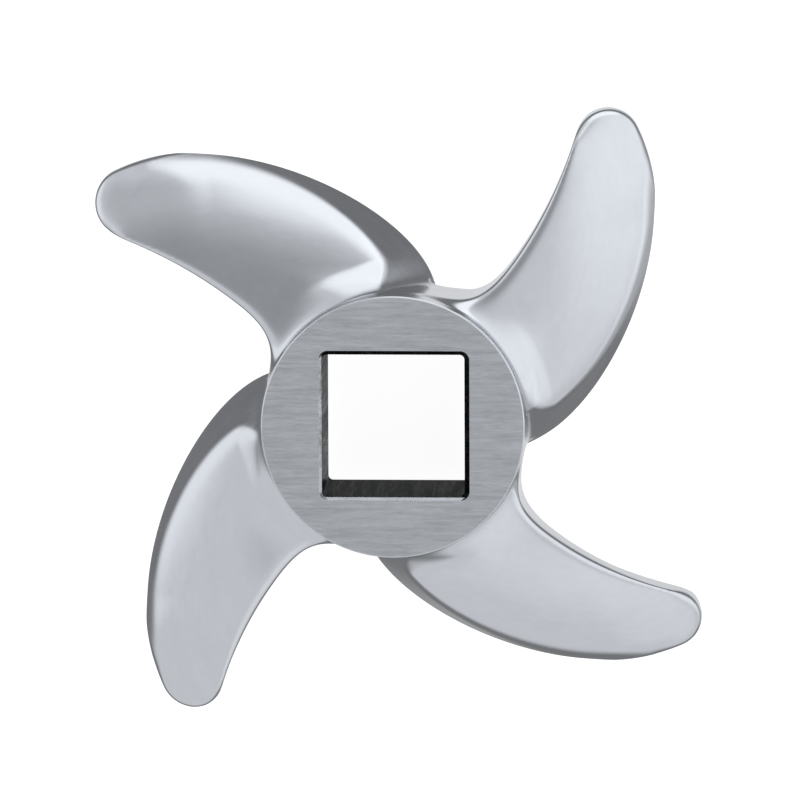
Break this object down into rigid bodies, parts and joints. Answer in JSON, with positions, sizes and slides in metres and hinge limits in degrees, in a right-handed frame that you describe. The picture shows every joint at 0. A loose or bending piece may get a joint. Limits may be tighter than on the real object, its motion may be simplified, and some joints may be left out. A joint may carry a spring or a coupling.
{
  "type": "meat grinder knife",
  "caption": "Cross-shaped meat grinder knife: a round hub with a flat ground face and a square drive hole, and swept, tilted arms with a sharp convex edge.",
  "frame": {"origin": "on the knife's axis, in the cutting plane where the lands of the arms touch the hole plate", "axes": "+Z along the axis, from the cutting plane towards the rear face and the feed screw; the drive square's sides are parallel to X and Y"},
  "size_m": [0.0614, 0.0614, 0.014],
  "materials": {
    "ground_steel": "ground flat with fine straight grinding lines",
    "polished_steel": "soft polished casting"
  },
  "bodies": {
    "root": {"hub": "ground_steel", "arm_1": "polished_steel", "arm_2": "polished_steel", "arm_3": "polished_steel", "arm_4": "polished_steel"}
  },
  "joints": []
}
